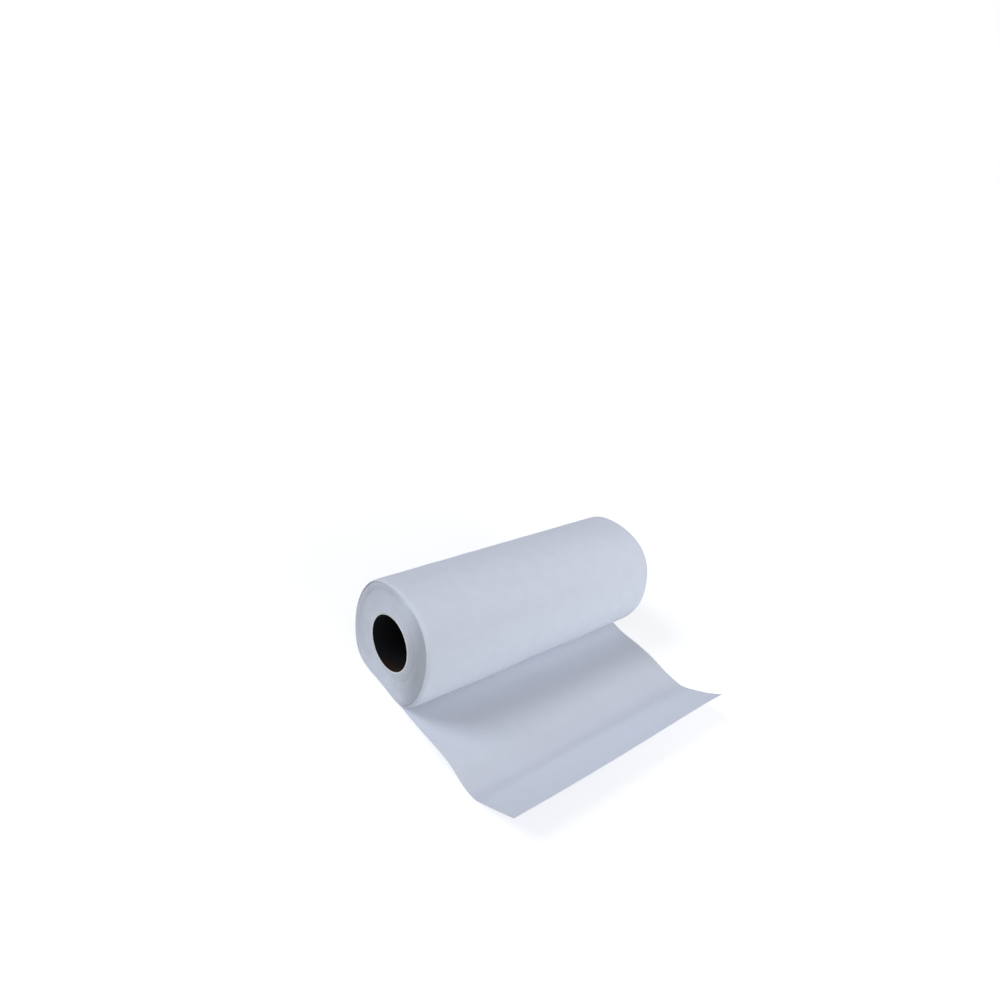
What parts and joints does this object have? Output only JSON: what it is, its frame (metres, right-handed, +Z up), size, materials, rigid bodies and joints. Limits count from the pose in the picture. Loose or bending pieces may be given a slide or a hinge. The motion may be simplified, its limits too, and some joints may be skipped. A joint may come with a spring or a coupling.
{
  "type": "paper towel roll",
  "caption": "Kitchen paper towel roll lying on its side, wound on a cardboard core, with its first sheet pulled out in front and curling up at the free edge.",
  "frame": {"origin": "middle of the core's axis", "axes": "+X along the core's axis, towards the roll's right end as seen from the side of the pulled sheet; -Y out along the pulled sheet; +Z up, away from the surface that the roll lies on"},
  "size_m": [0.23, 0.195, 0.0845],
  "materials": {
    "core_cardboard": "matt, uncoated recycled board",
    "towel_paper": "matt, soft embossed tissue"
  },
  "bodies": {
    "root": {"cardboard_core": "core_cardboard", "wound_paper": "towel_paper"}
  },
  "joints": []
}
